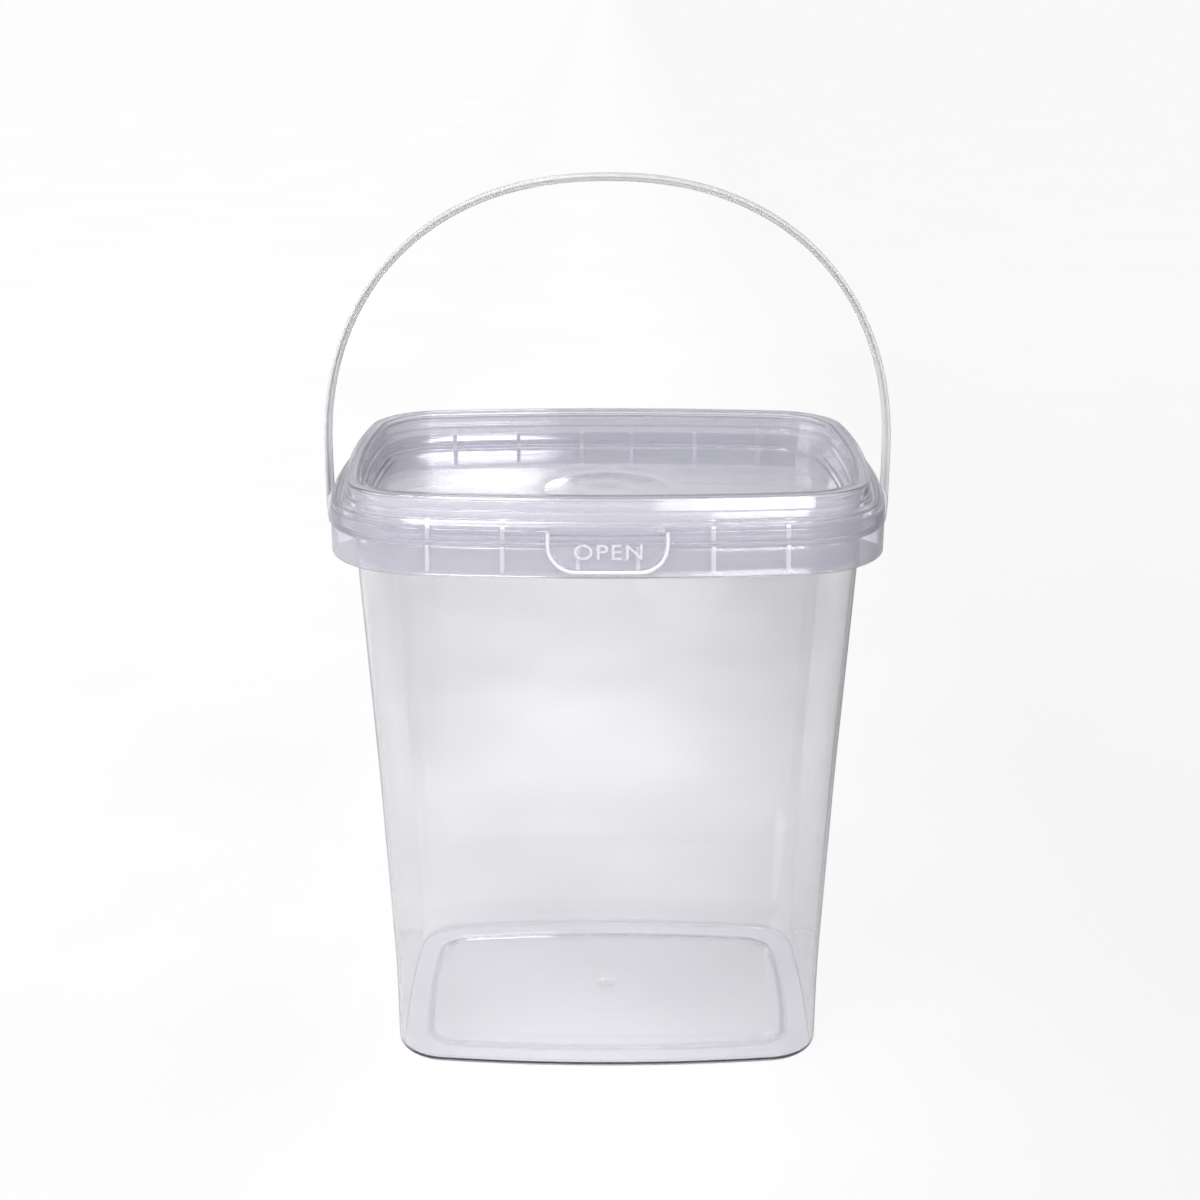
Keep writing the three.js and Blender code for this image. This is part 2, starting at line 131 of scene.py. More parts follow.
def background_share(tree, glass):
    """How much a ray sees the plain white background: all of it for the camera, and a share of it
    for rays that were reflected or that came through the plastic."""
    camera_ray = tree.make("ShaderNodeLightPath", output="Is Camera Ray")
    glossy_ray = tree.make("ShaderNodeLightPath", output="Is Glossy Ray")
    through_ray = tree.make("ShaderNodeLightPath", output="Is Transmission Ray")
    return camera_ray.larger(glossy_ray.larger(through_ray) * glass)


def grey(value):
    return (value, value, value, 1)


# The sky's stops run from straight down at 0 over the horizon at 0.5 to straight up at 1
SKY_STOPS = [
    (0.50, (0.80, 0.80, 0.86, 1)),
    (0.56, (0.52, 0.52, 0.58, 1)),
    (0.62, (0.30, 0.30, 0.36, 1)),
    (0.70, (0.38, 0.38, 0.44, 1)),
    (1.00, (0.62, 0.62, 0.67, 1)),
]
SKY_IN_GLASS = 0.45

world = bpy.data.worlds.new("studio_sky")
scene.world = world
sky = fresh_tree(world)
height = sky.make(
    "ShaderNodeSeparateXYZ",
    inputs={0: sky.make("ShaderNodeTexCoord", output="Generated")},
    output="Z",
)
dim = sky.make("ShaderNodeValToRGB", {"stops": SKY_STOPS}, {0: height * 0.5 + 0.5})
sky.make(
    "ShaderNodeOutputWorld",
    inputs={
        0: sky.make(
            "ShaderNodeMixShader",
            inputs={
                0: background_share(sky, SKY_IN_GLASS),
                1: sky.make("ShaderNodeBackground", inputs={0: dim, 1: 1.0}),
                2: sky.make("ShaderNodeBackground", inputs={0: grey(1), 1: 1.0}),
            },
        )
    },
)


def lamp(name, kind, energy, place, target, **settings):
    """A lamp at place that shines towards target, with its own settings."""
    data = bpy.data.lights.new(name, kind)
    data.energy = energy
    for key, value in settings.items():
        setattr(data, key, value)
    made = bpy.data.objects.new(name, data)
    made.location = place
    aim = Vector(target) - Vector(place)
    made.rotation_euler = aim.to_track_quat("-Z", "Y").to_euler()
    scene.collection.objects.link(made)


# The card makes the pale patch in the back wall, and the pool the bright floor behind the pail
LID_MIDDLE = Vector((0, 0, 141 * MM))
POOL_WIDTH = math.radians(17)
lamp(
    "key_box", "AREA", 9.0, (-0.26, -0.46, 1.05), LID_MIDDLE,
    shape="RECTANGLE", size=0.36, size_y=0.36,
)
lamp(
    "box_behind", "AREA", 0.045, (-0.100, 1.20, 0.414), LID_MIDDLE,
    shape="RECTANGLE", size=0.105, size_y=0.055,
)
lamp(
    "card_behind", "AREA", 0.038, (-0.060, 0.45, 0.043), (-0.060, 0, 0.134),
    shape="ELLIPSE", size=0.076, size_y=0.022,
)
lamp(
    "pool_behind", "SPOT", 8, (-0.01, 0.18, 0.9), (-0.01, 0.18, 0),
    spot_size=POOL_WIDTH, spot_blend=1.0, shadow_soft_size=0.05,
)
lamp(
    "box_left", "AREA", 4.5, (-1.0, -0.25, 0.45), LID_MIDDLE,
    shape="RECTANGLE", size=0.7, size_y=0.5,
)
lamp(
    "box_front", "AREA", 3.0, (0.31, -1.02, 0.10), LID_MIDDLE,
    shape="ELLIPSE", size=0.46, size_y=0.34,
)
lamp(
    "box_front_core", "AREA", 2.4, (0.31, -1.01, 0.10), LID_MIDDLE,
    shape="ELLIPSE", size=0.30, size_y=0.24,
)

# The floor's white runs from 1 m left of the pail at 0 to 1 m right of it at 1. It is painted
# shade: darker in a band on the left and far darker to the right, with soft noise patches of
# painted shade, so that the floor seen through the pail looks shaded. The glow is how the camera
# sees it, from the pail's middle outwards, in metres.
FLOOR_HALF = 30
FLOOR_DROP = 0.2 * MM
FLOOR_PAINTED_SHADE_STOPS = [
    (0.36, grey(0.95)),
    (0.45, grey(0.70)),
    (0.49, grey(0.92)),
    (0.518, grey(0.78)),
    (0.58, grey(0.22)),
]
FLOOR_SHADE_PATCHES = 0.6
GLOW_STOPS = [(0.0, grey(0.93)), (0.5, grey(0.985)), (1.0, grey(1))]
FLOOR_IN_GLASS = 0.35
FLOOR_GLOW_SHARE = 0.85
FLOOR_GLOW = 1.1

floor_mesh = bpy.data.meshes.new("floor")
floor_mesh.from_pydata(
    [(x * FLOOR_HALF, y * FLOOR_HALF, 0) for x, y in ((-1, -1), (1, -1), (1, 1), (-1, 1))],
    [],
    [(0, 1, 2, 3)],
)
floor = bpy.data.objects.new("floor", floor_mesh)
floor.location.z = -FLOOR_DROP
scene.collection.objects.link(floor)
floor_paint = bpy.data.materials.new("pale_floor")
floor_mesh.materials.append(floor_paint)
tree = fresh_tree(floor_paint)
place = tree.make("ShaderNodeTexCoord", output="Object")
from_pail = tree.make("ShaderNodeVectorMath", {"operation": "LENGTH"}, {0: place}, output="Value")
to_the_right = tree.make("ShaderNodeSeparateXYZ", inputs={0: place}, output="X")
# Painted shade on the floor: soft noise patches, and a white that darkens to the right
shade_patches = tree.make("ShaderNodeTexNoise", inputs={"Vector": place, "Scale": 9.0, "Detail": 2.0})
white = tree.make(
    "ShaderNodeValToRGB", {"stops": FLOOR_PAINTED_SHADE_STOPS}, {0: to_the_right * 0.5 + 0.5}
)
patchy_shade = tree.make(
    "ShaderNodeMix",
    {"data_type": "RGBA", "blend_type": "MULTIPLY"},
    {0: FLOOR_SHADE_PATCHES, 6: white, 7: shade_patches},
    output=2,
)
glow = tree.make("ShaderNodeValToRGB", {"stops": GLOW_STOPS}, {0: from_pail})
tree.make(
    "ShaderNodeOutputMaterial",
    inputs={
        0: tree.make(
            "ShaderNodeMixShader",
            inputs={
                0: background_share(tree, FLOOR_IN_GLASS) * FLOOR_GLOW_SHARE,
                1: tree.make("ShaderNodeBsdfDiffuse", inputs={0: patchy_shade}),
                2: tree.make("ShaderNodeEmission", inputs={0: glow, 1: FLOOR_GLOW}),
            },
        )
    },
)

# Tub: one clear polypropylene moulding. Its wall tapers down to a foot ring round a raised floor
# panel. Below the rim a web carries the collar, which is cut out in a U for the tear tab and has
# a round hole in each end for the handle.

tub_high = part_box("tub")[1]
HALF_LENGTH = tub_high.x
HALF_WIDTH = tub_high.y
TUB_TOP = tub_high.z
CORNER_RADIUS = 23.5 * MM
LONG_RADIUS = 380 * MM
SHORT_RADIUS = 228 * MM
CORNER_STEPS = 22
LONG_STEPS = 14
SHORT_STEPS = 9

WALL = 1.0 * MM
RIM_INSET = 5.3 * MM
RIM_TIGHTER = -2 * MM
RIM_BLEND = 60 * MM
BEND_INSET, BEND_HEIGHT, BEND_BLEND = 9.1 * MM, 75 * MM, 900 * MM
BAND_INSET, BAND_HEIGHT, BAND_BLEND = 11.5 * MM, 22 * MM, 400 * MM
FOOT_INSET = 11.6 * MM
FOOT_RADIUS = 1.6 * MM
FOOT_ROUNDER = 1.5 * MM
RING_FLAT = 5.7 * MM
FLOOR_STEP = 3.4 * MM
FLOOR_RISE = 1.8 * MM
FLOOR_THICK = 1.2 * MM
FLOOR_LEDGE = 0.4 * MM
FLOOR_BLEND = 5 * MM
FLOOR_CORNER = 4 * MM
FLOOR_MARGIN = 3 * MM
COLLAR_TOP = TUB_TOP - 5.2 * MM
COLLAR_BOTTOM = COLLAR_TOP - 11.2 * MM
COLLAR_WALL = 1.1 * MM
WEB_TOP = TUB_TOP - 8.3 * MM
WEB_THICK = 1.0 * MM
WEB_UNDER = WEB_TOP - WEB_THICK
WEB_ROOT = 0.6 * MM
WEB_END = 0.5 * MM
SNAP_RIM = 0.3 * MM
SNAP_START, SNAP_CREST, SNAP_TURN, SNAP_END = np.array([0.45, 0.9, 1.6, 2.0]) * MM
SOFT_EDGE = 0.35 * MM
FINE_EDGE = 0.15 * MM
RING_SPACING = 6 * MM
RINGS_BETWEEN = np.array([0.3, 0.6, 0.85])

# The gate's stub and two faint rings stand on the floor, and a dimple is left under it
GATE_RADII = np.array([0.4, 1.2, 1.9, 2.6, 3.2, 8, 12.6, 13.1, 13.5, 13.9, 14.4, 18]) * MM
GATE_HEIGHTS = np.array([0.5, 0.46, 0.28, 0.05, 0, 0, 0, 0.02, 0.06, 0.02, 0, 0]) * MM
DIMPLE_RADII = np.array([0.4, 1.4, 2.4, 2.9, 8, 18]) * MM
DIMPLE_HEIGHTS = np.array([0.1, 0.05, 0.01, 0, 0, 0]) * MM

NOTCH_HALF = 13 * MM
NOTCH_SILL = COLLAR_BOTTOM + 1.9 * MM
NOTCH_CORNER = 5.8 * MM
NOTCH_STEPS = 14
NOTCH_PAST_TAB = 0.3 * MM
TAB_GAP = 0.3 * MM
FRONT = -HALF_WIDTH
OVERRUN = 2 * MM
HOLE_RADIUS = 2.5 * MM
PIVOT_HEIGHT = COLLAR_BOTTOM + 3.2 * MM
ROUND_STEPS = 48
CORNER_REACH = 0.49


def plan(offset, extra):
    """Rings of the plan, a rectangle with bowed sides and round corners: one ring for each
    offset outwards, with corners rounder by extra. In the quarter +X +Y a side arc about
    (half length - R, 0), a corner arc and a side arc about (0, half width - R) follow each
    other, and the other quarters mirror it."""
    offset = np.atleast_1d(offset)[:, None]
    radius = CORNER_RADIUS + np.atleast_1d(extra)[:, None]
    long_y = HALF_WIDTH - LONG_RADIUS
    short_x = HALF_LENGTH - SHORT_RADIUS
    distance = math.hypot(short_x, long_y)
    from_long = LONG_RADIUS - radius
    from_short = SHORT_RADIUS - radius
    along = (from_long**2 - from_short**2 + distance**2) / (2 * distance)
    across = np.sqrt(from_long**2 - along**2)
    unit_x, unit_y = short_x / distance, -long_y / distance
    corner_x = unit_x * along + unit_y * across
    corner_y = long_y + unit_y * along - unit_x * across
    short_end = np.arctan2(corner_y, corner_x - short_x)
    long_end = np.arctan2(corner_y - long_y, corner_x)

    def arc(x, y, r, start, end, steps):
        angle = start + (end - start) * np.arange(steps) / steps
        return np.stack([x + r * np.cos(angle), y + r * np.sin(angle)], -1)

    quarter = np.concatenate(
        [
            arc(short_x, 0, SHORT_RADIUS + offset, 0 * short_end, short_end, SHORT_STEPS),
            arc(corner_x, corner_y, radius + offset, short_end, long_end, CORNER_STEPS),
            arc(0, long_y, LONG_RADIUS + offset, long_end, math.pi / 2, LONG_STEPS),
            np.stack([0 * offset, HALF_WIDTH + offset], -1),
        ],
        axis=1,
    )
    half = np.concatenate([quarter, quarter[:, -2::-1] * (-1, 1)], axis=1)
    return np.concatenate([half, half[:, -2:0:-1] * (1, -1)], axis=1)


def rounded(corners, steps=6, closed=False):
    """A line through corners (a, b, radius, extra), each corner turned into an arc that touches
    both of its sides and takes less than half of either. The extra column is carried along."""
    corners = np.array([list(c) + [0.0] * (4 - len(c)) for c in corners])
    count = len(corners)
    line = []
    for i, corner in enumerate(corners):
        if corner[2] == 0 or (not closed and i in (0, count - 1)):
            line.append(corner[[0, 1, 3]][None])
            continue
        place = corner[:2]
        before = corners[i - 1][:2] - place
        after = corners[(i + 1) % count][:2] - place
        reach = min(np.linalg.norm(before), np.linalg.norm(after)) * CORNER_REACH
        before /= np.linalg.norm(before)
        after /= np.linalg.norm(after)
        half = math.acos(np.clip(before @ after, -1, 1)) / 2
        cut = min(corner[2] / math.tan(half), reach)
        radius = cut * math.tan(half)
        middle = (before + after) / np.linalg.norm(before + after)
        centre = place + middle * radius / math.sin(half)
        start = (place + before * cut - centre) / radius
        end = (place + after * cut - centre) / radius
        turn = math.pi - 2 * half
        t = np.linspace(0, 1, steps + 1)[:, None]
        spread = (np.sin((1 - t) * turn) * start + np.sin(t * turn) * end) / math.sin(turn)
        arc = centre + radius * spread
        line.append(np.concatenate([arc, np.full((len(arc), 1), corner[3])], axis=1))
    return np.concatenate(line)


def spaced(line, spacing):
    """The line with points added evenly wherever two are further apart than spacing."""
    steps = np.linalg.norm(np.diff(line[:, :2], axis=0), axis=1)
    pieces = np.maximum(1, np.ceil(steps / spacing).astype(int))
    place = np.concatenate([[0], np.cumsum(pieces)])
    at = np.arange(place[-1] + 1)
    return np.stack([np.interp(at, place, column) for column in line.T], axis=-1)


def skin(name, *grids):
    """One mesh of closed surfaces. Each goes through a grid of points, rows by columns: the
    columns close on themselves, and the first and the last row end in a fan about their middle."""
    points, faces, start = [], [], 0
    for grid in grids:
        rows, columns = grid.shape[:2]
        ring = np.arange(columns)
        after = (ring + 1) % columns
        row = np.arange(rows - 1)[:, None] * columns
        next_row = row + columns
        quads = np.stack([row + ring, next_row + ring, next_row + after, row + after], axis=-1)
        first = rows * columns
        last = first + 1
        end = first - columns
        points += [grid.reshape(-1, 3), grid[0].mean(0)[None], grid[-1].mean(0)[None]]
        faces += (start + quads.reshape(-1, 4)).tolist()
        faces += (start + np.stack([np.full(columns, first), ring, after], -1)).tolist()
        faces += (start + np.stack([np.full(columns, last), end + after, end + ring], -1)).tolist()
        start += first + 2
    mesh = bpy.data.meshes.new(name)
    mesh.from_pydata(np.concatenate(points).tolist(), [], faces)
    piece = bpy.data.objects.new(name, mesh)
    scene.collection.objects.link(piece)
    return piece


def middle_rings(ring, level, radii, heights, outwards):
    """Rings from circles in the middle to a ring of the plan at one level: each circle has its
    own height over the level and the ring's own directions from the middle, and the rings
    between stand at shares of the way from the last circle to the plan's ring."""
    direction = ring / np.linalg.norm(ring, axis=1)[:, None]
    height = (level + heights)[:, None, None]
    circles = np.concatenate(
        [
            radii[:, None, None] * direction[None],
            np.broadcast_to(height, (len(radii), len(ring), 1)),
        ],
        axis=-1,
    )
    outer = np.concatenate([ring, np.full((len(ring), 1), level)], axis=-1)
    between = circles[-1] + (outer - circles[-1]) * RINGS_BETWEEN[:, None, None]
    rings = np.concatenate([circles, between])
    return rings if outwards else rings[::-1]


def dish(name, corners, top_radii, top_heights, under_radii, under_heights):
    """A moulding that follows the plan: its profile of corners (offset, height, radius, extra)
    runs from its floor over the rim to its underside, and circles fill the middle of both."""
    line = spaced(rounded(corners), RING_SPACING)
    rings = plan(line[:, 0], line[:, 2])
    height = np.broadcast_to(line[:, 1][:, None, None], rings.shape[:2] + (1,))
    body = np.concatenate([rings, height], axis=-1)
    top = middle_rings(rings[0], line[0, 1], top_radii, top_heights, True)
    under = middle_rings(rings[-1], line[-1, 1], under_radii, under_heights, False)
    return skin(name, np.concatenate([top, body, under]))


def combined(base, operation, tool):
    """The base joined with, cut by or kept inside the tool, which is used up."""
    change = base.modifiers.new(operation, "BOOLEAN")
    change.operation = operation
    change.solver = "EXACT"
    change.object = tool
    bpy.context.view_layer.update()
    made = bpy.data.meshes.new_from_object(
        base.evaluated_get(bpy.context.evaluated_depsgraph_get())
    )
    base.modifiers.clear()
    base.data = made
    bpy.data.objects.remove(tool)
    return base


def block(outline, low, high, place):
    """The grid of a flat outline of (a, b) points given depth from low to high. place turns the
    arrays a, b and depth into points of the frame."""
    a, b = np.array(outline).T
    depth = np.array([low, high])[:, None]
    return place(a[None] + 0 * depth, b[None] + 0 * depth, depth + 0 * a[None])


def from_front(x, z, y):
    """Points for an outline of (x, z) that is given depth along Y."""
    return np.stack([x, y, z], -1)


def notch_line(grow, top):
    """The U seen from the front as (x, height), grown outwards, from its left end to its right.
    Its legs are laid out three radii high, so that the corners stay fully round, and then end
    at the top."""
    half = NOTCH_HALF + grow
    sill = NOTCH_SILL - grow
    corner = NOTCH_CORNER + grow
    above = sill + 3 * corner
    line = rounded(
        [(-half, above), (-half, sill, corner), (half, sill, corner), (half, above)],
        steps=NOTCH_STEPS,
    )[:, :2]
    line[[0, -1], 1] = top
    return line


def turned_on_x(name, profile, sign):
    """A surface turned about the pivot's line along X, on the end with that sign of X: a point
    (x, radius) of the profile goes round at y = radius * cos, z = pivot + radius * sin, and the
    sign turns it the other way round on the other end, so that both are right side out."""
    x, radius = np.array(profile)[:, :2].T
    angle = np.linspace(0, 2 * math.pi, ROUND_STEPS, endpoint=False)[None]
    grid = np.stack(
        [
            sign * x[:, None] + 0 * angle,
            -sign * radius[:, None] * np.cos(angle),
            PIVOT_HEIGHT + radius[:, None] * np.sin(angle),
        ],
        -1,
    )
    return skin(name, grid)


def wall_round(height):
    """How much rounder than the plan's the wall's corners are, even from the foot to the web."""
    return FOOT_ROUNDER + (RIM_TIGHTER - FOOT_ROUNDER) * height / WEB_UNDER


foot_outside = -FOOT_INSET
foot_inside = foot_outside - WALL
ring_end = -FOOT_INSET - FOOT_RADIUS - RING_FLAT
step_end = ring_end - FLOOR_STEP
floor_middle = step_end - FLOOR_MARGIN
floor_top = FLOOR_RISE + FLOOR_THICK
rim_out = -RIM_INSET
rim_in = rim_out - WALL
snap_out = rim_out + SNAP_RIM
tub_corners = [
    (floor_middle, floor_top, 0, FLOOR_CORNER),
    (step_end + FLOOR_LEDGE, floor_top, FLOOR_BLEND, FLOOR_CORNER),
    (ring_end + FLOOR_LEDGE, FLOOR_THICK, FLOOR_BLEND, FLOOR_CORNER),
    (foot_inside, FLOOR_THICK, FOOT_RADIUS - WALL, FOOT_ROUNDER),
    (-BAND_INSET - WALL, BAND_HEIGHT, BAND_BLEND, wall_round(BAND_HEIGHT)),
    (-BEND_INSET - WALL, BEND_HEIGHT, BEND_BLEND, wall_round(BEND_HEIGHT)),
    (rim_in, WEB_UNDER, RIM_BLEND, RIM_TIGHTER),
    (rim_in, TUB_TOP, SOFT_EDGE, RIM_TIGHTER),
    (rim_out, TUB_TOP, SOFT_EDGE, RIM_TIGHTER),
    (rim_out, TUB_TOP - SNAP_START, FINE_EDGE, RIM_TIGHTER),
    (snap_out, TUB_TOP - SNAP_CREST, FINE_EDGE, RIM_TIGHTER),
    (snap_out, TUB_TOP - SNAP_TURN, FINE_EDGE, RIM_TIGHTER),
    (rim_out, TUB_TOP - SNAP_END, FINE_EDGE, RIM_TIGHTER),
    (rim_out, WEB_TOP, WEB_ROOT, RIM_TIGHTER),
    (-COLLAR_WALL, WEB_TOP, WEB_END),
    (-COLLAR_WALL, COLLAR_TOP, SOFT_EDGE),
    (0, COLLAR_TOP, SOFT_EDGE),
    (0, COLLAR_BOTTOM, SOFT_EDGE),
    (-COLLAR_WALL, COLLAR_BOTTOM, SOFT_EDGE),
    (-COLLAR_WALL, WEB_UNDER, WEB_END),
    (rim_out, WEB_UNDER, WEB_ROOT, RIM_TIGHTER),
    (-BEND_INSET, BEND_HEIGHT, BEND_BLEND, wall_round(BEND_HEIGHT)),
    (-BAND_INSET, BAND_HEIGHT, BAND_BLEND, wall_round(BAND_HEIGHT)),
    (foot_outside, 0, FOOT_RADIUS, FOOT_ROUNDER),
    (ring_end, 0, FLOOR_BLEND, FLOOR_CORNER),
    (step_end, FLOOR_RISE, FLOOR_BLEND, FLOOR_CORNER),
    (floor_middle, FLOOR_RISE, 0, FLOOR_CORNER),
]
tub = dish("tub_body", tub_corners, GATE_RADII, GATE_HEIGHTS, DIMPLE_RADII, DIMPLE_HEIGHTS)

notch_back = FRONT + (COLLAR_WALL + TAB_GAP + NOTCH_PAST_TAB)
notch = block(notch_line(0, COLLAR_TOP + OVERRUN), FRONT - OVERRUN, notch_back, from_front)
tub = combined(tub, "DIFFERENCE", skin("notch", notch))
hole_profile = [
    (HALF_LENGTH - COLLAR_WALL - OVERRUN, HOLE_RADIUS),
    (HALF_LENGTH + OVERRUN, HOLE_RADIUS),
]
for sign in (-1, 1):
    tub = combined(tub, "DIFFERENCE", turned_on_x("hole", hole_profile, sign))

PLASTIC_IOR = 1.49
MILK = (0.50, 0.495, 0.545, 1)
MILK_ROUGHNESS = 0.45
DEEP = (0.11, 0.08, 0.26, 1)
LAMPLIGHT_LET_THROUGH = (0.87, 0.87, 0.88, 1)
STOPS_HEIGHT = 160 * MM
CLOUD_SHADE = 0.012
HAZE_BASE = 0.4
RIPPLE_STRENGTH = 0.35


def clear_plastic(name, tint_stops, haze_stops, milk_stops, depth, ripple_size, ripple):
    """Clear moulded polypropylene: glass-like, with a tint and a haze that change with the
    height over the foot, in cloudy patches, and the shallow ripple that a mould leaves. A share
    of it is milky, and light that runs a long way inside it is dimmed by the depth (per metre).
    Lamps shine through it, a little dimmed. The stops' places are shares of STOPS_HEIGHT."""
    paint = bpy.data.materials.new(name)
    tree = fresh_tree(paint)
    place = tree.make("ShaderNodeTexCoord", output="Object")
    cloud = tree.make(
        "ShaderNodeTexNoise",
        inputs={"Vector": place, "Scale": 38.0, "Detail": 3.0, "Roughness": 0.55},
    )
    ripples = tree.make(
        "ShaderNodeTexNoise",
        inputs={"Vector": place, "Scale": 1 / ripple_size, "Detail": 2.0, "Roughness": 0.4},
    )
    bump = tree.make(
        "ShaderNodeBump",
        inputs={"Strength": RIPPLE_STRENGTH, "Distance": ripple, "Height": ripples},
    )
    share = tree.make("ShaderNodeSeparateXYZ", inputs={0: place}, output="Z") * (1 / STOPS_HEIGHT)
    tint = tree.make("ShaderNodeValToRGB", {"stops": tint_stops}, {0: share})
    haze = tree.make("ShaderNodeValToRGB", {"stops": haze_stops}, {0: share})
    milk = tree.make("ShaderNodeValToRGB", {"stops": milk_stops}, {0: share})
    colour = tree.make(
        "ShaderNodeMix",
        {"data_type": "RGBA", "blend_type": "MULTIPLY"},
        {0: cloud * CLOUD_SHADE, 6: tint, 7: grey(0)},
        output=2,
    )
    plastic = tree.make(
        "ShaderNodeBsdfPrincipled",
        inputs={
            "Base Color": colour,
            "Roughness": haze * (cloud + HAZE_BASE),
            "IOR": PLASTIC_IOR,
            "Transmission Weight": 1.0,
            "Normal": bump,
        },
    )
    milky = tree.make(
        "ShaderNodeBsdfPrincipled",
        inputs={
            "Base Color": MILK, "Roughness": MILK_ROUGHNESS, "IOR": PLASTIC_IOR, "Normal": bump
        },
    )
    body = tree.make("ShaderNodeMixShader", inputs={0: milk, 1: plastic, 2: milky})
    lamplight = tree.make("ShaderNodeBsdfTransparent", inputs={0: LAMPLIGHT_LET_THROUGH})
    tree.make(
        "ShaderNodeOutputMaterial",
        inputs={
            1: tree.make("ShaderNodeVolumeAbsorption", inputs={0: DEEP, 1: depth}),
            0: tree.make(
                "ShaderNodeMixShader",
                inputs={
                    0: tree.make("ShaderNodeLightPath", output="Is Shadow Ray"),
                    1: body,
                    2: lamplight,
                },
            ),
        },
    )
    return paint


MERGE_DISTANCE = 0.001 * MM
SHARP_ANGLE = math.radians(35)


def finished(piece, body, node, paint):
    """Closes a piece's making: outward faces, smooth shading that breaks at sharp edges, its
    material, and its place on the frame."""
    mesh = piece.data
    work = bmesh.new()
    work.from_mesh(mesh)
    bmesh.ops.remove_doubles(work, verts=work.verts, dist=MERGE_DISTANCE)
    bmesh.ops.recalc_face_normals(work, faces=work.faces)
    work.to_mesh(mesh)
    work.free()
    mesh.materials.clear()
    mesh.materials.append(paint)
    mesh.shade_smooth()
    mesh.set_sharp_from_angle(angle=SHARP_ANGLE)
    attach(piece, body)
    if node:
        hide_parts(node)


# The tub's tints by height. The darker ones low down, at the floor's edge and in the foot, are
# partly the plastic's own tone and partly painted shade for the shadow under the pail.
FLOOR_EDGE_SHADE_TINT = (0.825, 0.823, 0.838, 1)
PLAIN_CLEAR = (0.950, 0.949, 0.958, 1)
FOOT_SHADE_TINT = (0.958, 0.957, 0.965, 1)
WALL_CLEAR = (0.991, 0.990, 0.993, 1)
COLLAR_CLEAR = (0.790, 0.787, 0.820, 1)
TUB_TINT = [
    (0.0078, (0.915, 0.914, 0.928, 1)),
    (0.0086, FLOOR_EDGE_SHADE_TINT),
    (0.0130, FLOOR_EDGE_SHADE_TINT),
    (0.0150, PLAIN_CLEAR),
    (0.0195, PLAIN_CLEAR),
    (0.0230, FOOT_SHADE_TINT),
    (0.0500, FOOT_SHADE_TINT),
    (0.0620, WALL_CLEAR),
    (0.8300, WALL_CLEAR),
    (0.8350, COLLAR_CLEAR),
    (0.9020, COLLAR_CLEAR),
    (0.9050, PLAIN_CLEAR),
]
TUB_HAZE = [(0.83, grey(0.03)), (0.835, grey(0.06))]
TUB_MILK = [
    (0.0001, grey(0.015)),
    (0.0004, grey(0.60)),
    (0.0064, grey(0.60)),
    (0.0071, grey(0.015)),
    (0.8300, grey(0.015)),
    (0.8350, grey(0.18)),
]
tub_paint = clear_plastic(
    "clear_tub", TUB_TINT, TUB_HAZE, TUB_MILK, depth=8, ripple_size=9 * MM, ripple=0.05 * MM
)
finished(tub, "tub", "tub", tub_paint)

# Gusset ribs: thin upright webs of the tub, moulded across the gutter between wall and collar,
# above the web and below it. Each long side has six and each short side four, and the two
# behind the tab have only the part below the web.

RIB_HALF = 0.45 * MM
RIB_PLACES = {"long": np.array([6.75, 23.75, 40.75]) * MM, "short": np.array([10, 23]) * MM}
RIB_SEAM = 0.03 * MM
LOWER_RIB_HEIGHT = 4.6 * MM
LOWER_RIB_LIFT = 1 * MM
LOWER_RIB_TOE = 0.6 * MM
UPPER_RIB_OUT = -2.95 * MM
UPPER_RIB_TOP = 144.6 * MM
UPPER_RIB_SLOPE, UPPER_RIB_DROP = 0.8 * MM, 1.2 * MM


def side_place(side):
    """Turns (offset outwards, height, place along the side) into points, on one of the four
    sides. The offset follows the side's own arc, at the root of (radius + offset)^2 - place^2."""
    sign = -1 if side in ("front", "left") else 1

    def long_side(offset, height, along):
        y = np.sqrt((LONG_RADIUS + offset) ** 2 - along**2) - LONG_RADIUS + HALF_WIDTH
        return np.stack([along, sign * y, height], -1)

    def short_side(offset, height, along):
        x = np.sqrt((SHORT_RADIUS + offset) ** 2 - along**2) - SHORT_RADIUS + HALF_LENGTH
        return np.stack([sign * x, along, height], -1)

    return long_side if side in ("front", "back") else short_side


rib_root = rim_out + RIB_SEAM
rib_end = -COLLAR_WALL - RIB_SEAM
wall_slope = (BEND_INSET - RIM_INSET) / (WEB_UNDER - BEND_HEIGHT)
lower_foot = WEB_UNDER - LOWER_RIB_HEIGHT
lower_end = COLLAR_BOTTOM + LOWER_RIB_LIFT
lower_rib = [
    (rib_root - wall_slope * (WEB_UNDER - lower_foot), lower_foot),
    (rib_root, WEB_UNDER - RIB_SEAM),
    (rib_end, WEB_UNDER - RIB_SEAM),
    (rib_end, lower_end),
    (-COLLAR_WALL - LOWER_RIB_TOE, lower_end),
]
upper_rib = [
    (rib_root, WEB_TOP + RIB_SEAM),
    (rib_root, UPPER_RIB_TOP),
    (UPPER_RIB_OUT - UPPER_RIB_SLOPE, UPPER_RIB_TOP),
    (UPPER_RIB_OUT, UPPER_RIB_TOP - UPPER_RIB_DROP),
    (UPPER_RIB_OUT, WEB_TOP + RIB_SEAM),
]
ribs = []
for side in ("front", "back", "left", "right"):
    places = RIB_PLACES["long" if side in ("front", "back") else "short"]
    for along in np.concatenate([places, -places]):
        behind_tab = side == "front" and abs(along) < NOTCH_HALF
        for shape in [lower_rib] if behind_tab else [lower_rib, upper_rib]:
            ribs.append(block(shape, along - RIB_HALF, along + RIB_HALF, side_place(side)))
gusset_ribs = skin("gusset_ribs", *ribs)

CLOUD_DARKER = 0.94
MATT_BASE, MATT_CLOUD = 0.22, 0.2


